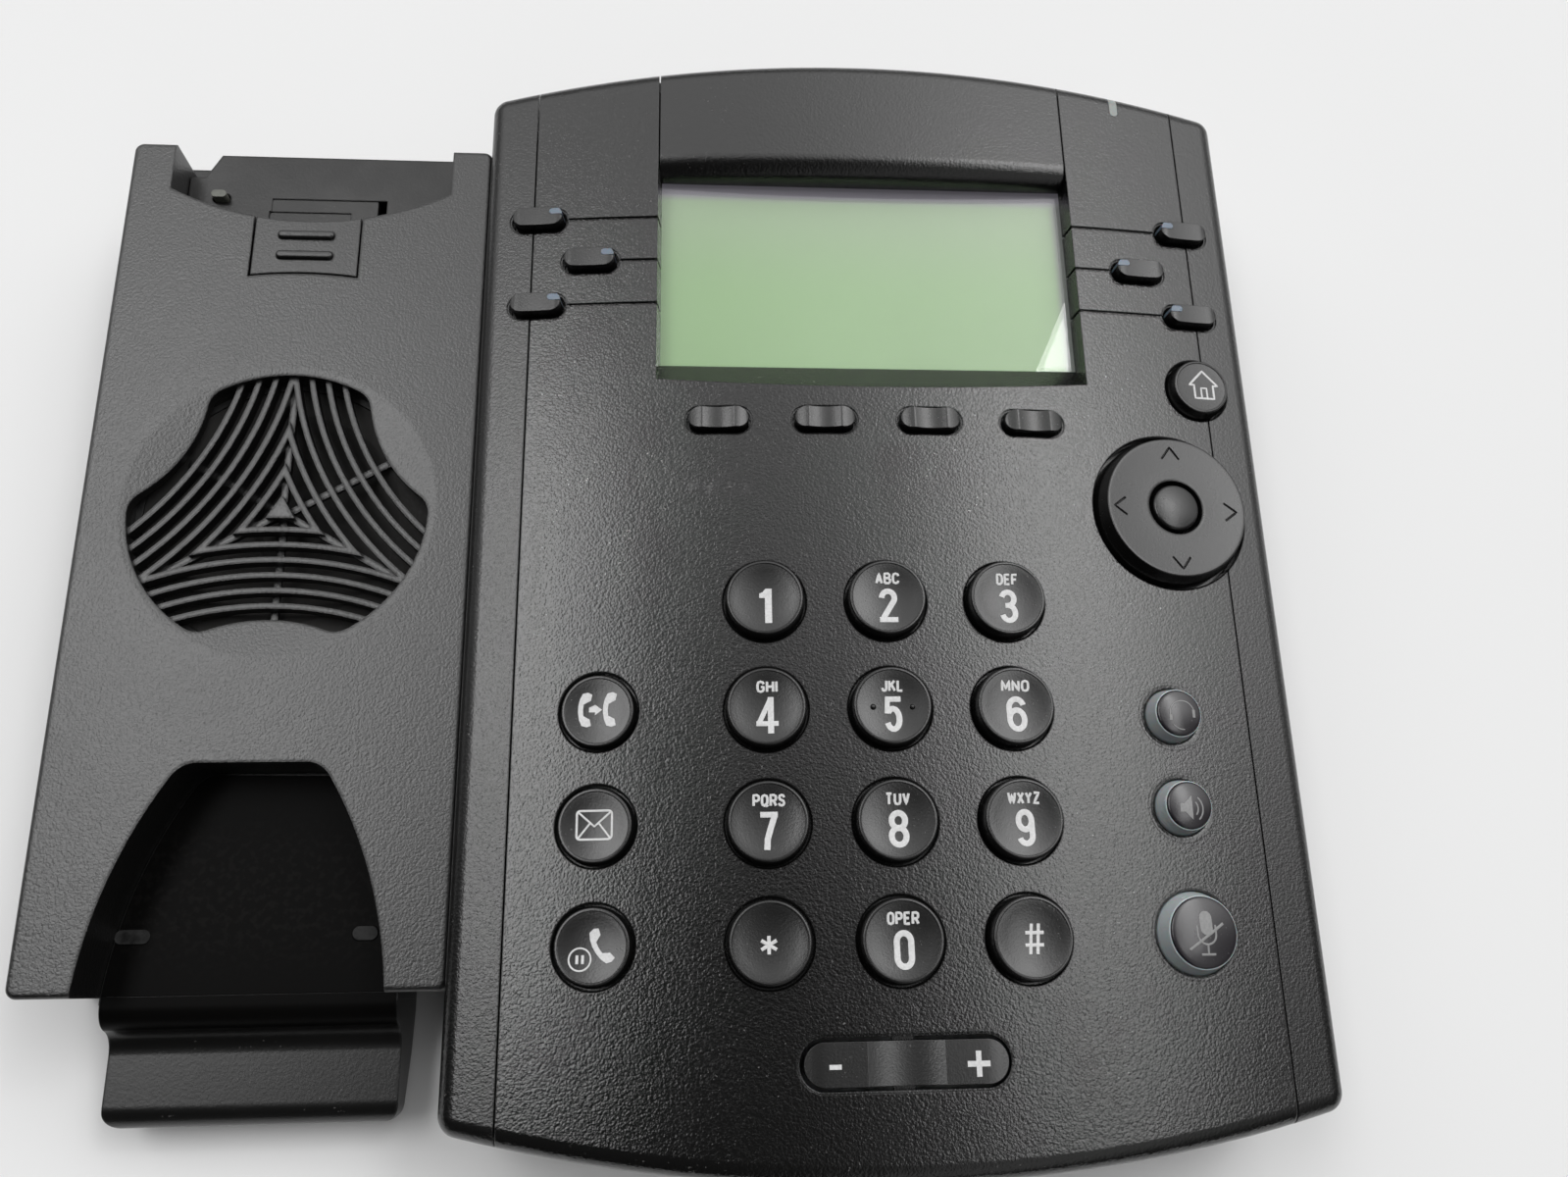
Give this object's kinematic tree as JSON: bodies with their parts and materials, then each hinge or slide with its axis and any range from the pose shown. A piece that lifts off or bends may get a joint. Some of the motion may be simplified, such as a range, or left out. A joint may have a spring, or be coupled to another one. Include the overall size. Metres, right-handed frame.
{
  "type": "voip desk phone",
  "caption": "Desk telephone base with a display, dial and function keys, navigation ring, volume rocker and a side cradle with a loudspeaker, without handset.",
  "frame": {"origin": "on the desk, at the middle of the footprint's bounding box", "axes": "+Z away from the desk towards the keys, +Y towards the display end, +X to the keypad side, away from the cradle"},
  "size_m": [0.191, 0.183, 0.0364],
  "materials": {
    "case_plastic": "fine leather grain, moulded",
    "key_plastic": "smooth satin caps with pale print",
    "lamp_plastic": "frosted translucent",
    "display_window": "clear",
    "display_glass": "grey-green reflective",
    "backlight": "white diffuser",
    "frame_plastic": "plain",
    "board": "green solder mask",
    "silicone": "translucent grey",
    "foot_rubber": "matte",
    "steel": "plain",
    "paper_cone": "pressed black",
    "foam": "closed cell",
    "jack_plastic": "moulded"
  },
  "bodies": {
    "housing": {"display_lens": "display_window", "front_housing": "case_plastic", "handset_cradle": "case_plastic", "handset_jacks": "jack_plastic", "hook_switch": "jack_plastic", "housing_screws": "steel", "key_mat": "silicone", "lcd_backlight": "backlight", "lcd_frame": "frame_plastic", "lcd_panel": "display_glass", "left_trim": "case_plastic", "main_board": "board", "message_lamp": "lamp_plastic", "microphone": "steel", "nav_carrier": "frame_plastic", "network_jacks": "jack_plastic", "power_jack": "jack_plastic", "rear_housing": "case_plastic", "right_trim": "case_plastic", "rubber_feet": "foot_rubber", "speaker_basket": "steel", "speaker_cone": "paper_cone", "speaker_gasket": "foam", "speaker_magnet": "steel", "top_cover": "case_plastic"},
    "dial_key_one": {"dial_key_one": "key_plastic"},
    "dial_key_two": {"dial_key_two": "key_plastic"},
    "dial_key_three": {"dial_key_three": "key_plastic"},
    "dial_key_four": {"dial_key_four": "key_plastic"},
    "dial_key_five": {"dial_key_five": "key_plastic"},
    "dial_key_six": {"dial_key_six": "key_plastic"},
    "dial_key_seven": {"dial_key_seven": "key_plastic"},
    "dial_key_eight": {"dial_key_eight": "key_plastic"},
    "dial_key_nine": {"dial_key_nine": "key_plastic"},
    "dial_key_star": {"dial_key_star": "key_plastic"},
    "dial_key_zero": {"dial_key_zero": "key_plastic"},
    "dial_key_pound": {"dial_key_pound": "key_plastic"},
    "transfer_key": {"transfer_key": "key_plastic"},
    "messages_key": {"messages_key": "key_plastic"},
    "hold_key": {"hold_key": "key_plastic"},
    "home_key": {"home_key": "key_plastic"},
    "headset_key": {"headset_key": "key_plastic"},
    "speaker_key": {"speaker_key": "key_plastic"},
    "mute_key": {"mute_key": "key_plastic"},
    "line_key_left_top": {"line_key_left_top": "key_plastic"},
    "line_key_left_middle": {"line_key_left_middle": "key_plastic"},
    "line_key_left_low": {"line_key_left_low": "key_plastic"},
    "line_key_right_top": {"line_key_right_top": "key_plastic"},
    "line_key_right_middle": {"line_key_right_middle": "key_plastic"},
    "line_key_right_low": {"line_key_right_low": "key_plastic"},
    "soft_key_1": {"soft_key_1": "key_plastic"},
    "soft_key_2": {"soft_key_2": "key_plastic"},
    "soft_key_3": {"soft_key_3": "key_plastic"},
    "soft_key_4": {"soft_key_4": "key_plastic"},
    "select_key": {"select_key": "key_plastic"},
    "nav_pivot_plate": {"nav_pivot_plate": "frame_plastic"},
    "nav_ring": {"nav_ring": "key_plastic"},
    "volume_rocker": {"volume_rocker": "key_plastic"},
    "hook_plunger": {"hook_plunger": "lamp_plastic"},
    "handset_tab": {"handset_tab": "case_plastic"}
  },
  "joints": [
    {"name": "dial_key_one_press", "type": "slide", "parent": "housing", "child": "dial_key_one", "axis": [0.0402, 0, -0.9992], "range_m": [0, 0.0008], "stiffness_N_per_m": 500},
    {"name": "dial_key_two_press", "type": "slide", "parent": "housing", "child": "dial_key_two", "axis": [0, 0, -1], "range_m": [0, 0.0008], "stiffness_N_per_m": 500},
    {"name": "dial_key_three_press", "type": "slide", "parent": "housing", "child": "dial_key_three", "axis": [-0.0402, 0, -0.9992], "range_m": [0, 0.0008], "stiffness_N_per_m": 500},
    {"name": "dial_key_four_press", "type": "slide", "parent": "housing", "child": "dial_key_four", "axis": [0.0402, 0, -0.9992], "range_m": [0, 0.0008], "stiffness_N_per_m": 500},
    {"name": "dial_key_five_press", "type": "slide", "parent": "housing", "child": "dial_key_five", "axis": [0, 0, -1], "range_m": [0, 0.0008], "stiffness_N_per_m": 500},
    {"name": "dial_key_six_press", "type": "slide", "parent": "housing", "child": "dial_key_six", "axis": [-0.0402, 0, -0.9992], "range_m": [0, 0.0008], "stiffness_N_per_m": 500},
    {"name": "dial_key_seven_press", "type": "slide", "parent": "housing", "child": "dial_key_seven", "axis": [0.0402, 0, -0.9992], "range_m": [0, 0.0008], "stiffness_N_per_m": 500},
    {"name": "dial_key_eight_press", "type": "slide", "parent": "housing", "child": "dial_key_eight", "axis": [0, 0, -1], "range_m": [0, 0.0008], "stiffness_N_per_m": 500},
    {"name": "dial_key_nine_press", "type": "slide", "parent": "housing", "child": "dial_key_nine", "axis": [-0.0402, 0, -0.9992], "range_m": [0, 0.0008], "stiffness_N_per_m": 500},
    {"name": "dial_key_star_press", "type": "slide", "parent": "housing", "child": "dial_key_star", "axis": [0.0402, 0, -0.9992], "range_m": [0, 0.0008], "stiffness_N_per_m": 500},
    {"name": "dial_key_zero_press", "type": "slide", "parent": "housing", "child": "dial_key_zero", "axis": [0, 0, -1], "range_m": [0, 0.0008], "stiffness_N_per_m": 500},
    {"name": "dial_key_pound_press", "type": "slide", "parent": "housing", "child": "dial_key_pound", "axis": [-0.0402, 0, -0.9992], "range_m": [0, 0.0008], "stiffness_N_per_m": 500},
    {"name": "transfer_key_press", "type": "slide", "parent": "housing", "child": "transfer_key", "axis": [0.0942, 0, -0.9956], "range_m": [0, 0.0008], "stiffness_N_per_m": 500},
    {"name": "messages_key_press", "type": "slide", "parent": "housing", "child": "messages_key", "axis": [0.0942, 0, -0.9956], "range_m": [0, 0.0008], "stiffness_N_per_m": 500},
    {"name": "hold_key_press", "type": "slide", "parent": "housing", "child": "hold_key", "axis": [0.0942, 0, -0.9956], "range_m": [0, 0.0008], "stiffness_N_per_m": 500},
    {"name": "home_key_press", "type": "slide", "parent": "housing", "child": "home_key", "axis": [-0.1187, 0, -0.9929], "range_m": [0, 0.0008], "stiffness_N_per_m": 500},
    {"name": "headset_key_press", "type": "slide", "parent": "housing", "child": "headset_key", "axis": [-0.0948, 0, -0.9955], "range_m": [0, 0.0008], "stiffness_N_per_m": 500},
    {"name": "speaker_key_press", "type": "slide", "parent": "housing", "child": "speaker_key", "axis": [-0.0948, 0, -0.9955], "range_m": [0, 0.0008], "stiffness_N_per_m": 500},
    {"name": "mute_key_press", "type": "slide", "parent": "housing", "child": "mute_key", "axis": [-0.0948, 0, -0.9955], "range_m": [0, 0.0008], "stiffness_N_per_m": 500},
    {"name": "line_key_left_top_press", "type": "slide", "parent": "housing", "child": "line_key_left_top", "axis": [0.12, 0, -0.9928], "range_m": [0, 0.0008], "stiffness_N_per_m": 500},
    {"name": "line_key_left_middle_press", "type": "slide", "parent": "housing", "child": "line_key_left_middle", "axis": [0.101, 0, -0.9949], "range_m": [0, 0.0008], "stiffness_N_per_m": 500},
    {"name": "line_key_left_low_press", "type": "slide", "parent": "housing", "child": "line_key_left_low", "axis": [0.1196, 0, -0.9928], "range_m": [0, 0.0008], "stiffness_N_per_m": 500},
    {"name": "line_key_right_top_press", "type": "slide", "parent": "housing", "child": "line_key_right_top", "axis": [-0.12, 0, -0.9928], "range_m": [0, 0.0008], "stiffness_N_per_m": 500},
    {"name": "line_key_right_middle_press", "type": "slide", "parent": "housing", "child": "line_key_right_middle", "axis": [-0.101, 0, -0.9949], "range_m": [0, 0.0008], "stiffness_N_per_m": 500},
    {"name": "line_key_right_low_press", "type": "slide", "parent": "housing", "child": "line_key_right_low", "axis": [-0.1196, 0, -0.9928], "range_m": [0, 0.0008], "stiffness_N_per_m": 500},
    {"name": "soft_key_1_press", "type": "slide", "parent": "housing", "child": "soft_key_1", "axis": [0.0551, 0, -0.9985], "range_m": [0, 0.0008], "stiffness_N_per_m": 500},
    {"name": "soft_key_2_press", "type": "slide", "parent": "housing", "child": "soft_key_2", "axis": [0.0184, 0, -0.9998], "range_m": [0, 0.0008], "stiffness_N_per_m": 500},
    {"name": "soft_key_3_press", "type": "slide", "parent": "housing", "child": "soft_key_3", "axis": [-0.0184, 0, -0.9998], "range_m": [0, 0.0008], "stiffness_N_per_m": 500},
    {"name": "soft_key_4_press", "type": "slide", "parent": "housing", "child": "soft_key_4", "axis": [-0.0551, 0, -0.9985], "range_m": [0, 0.0008], "stiffness_N_per_m": 500},
    {"name": "select_key_press", "type": "slide", "parent": "housing", "child": "select_key", "axis": [-0.1028, 0, -0.9947], "range_m": [0, 0.0008], "stiffness_N_per_m": 500},
    {"name": "nav_tilt_up_down", "type": "hinge", "parent": "housing", "child": "nav_pivot_plate", "pos_m": [0.07789, 0.0072, 0.02657], "axis": [0.9947, 0, -0.1028], "range_deg": [-3, 3], "stiffness_Nm_per_rad": 0.06},
    {"name": "nav_tilt_left_right", "type": "hinge", "parent": "nav_pivot_plate", "child": "nav_ring", "pos_m": [0.07805, 0.0072, 0.02816], "axis": [0, 1, 0], "range_deg": [-3, 3], "stiffness_Nm_per_rad": 0.06},
    {"name": "volume_rock", "type": "hinge", "parent": "housing", "child": "volume_rocker", "pos_m": [0.0307, -0.0756, 0.0307], "axis": [0, 1, 0], "range_deg": [-2.5, 2.5], "stiffness_Nm_per_rad": 0.06},
    {"name": "hook_press", "type": "slide", "parent": "housing", "child": "hook_plunger", "axis": [0, 0, -1], "range_m": [0, 0.0014], "stiffness_N_per_m": 150},
    {"name": "handset_tab_slide", "type": "slide", "parent": "housing", "child": "handset_tab", "axis": [0, 1, 0], "range_m": [0, 0.01]}
  ]
}
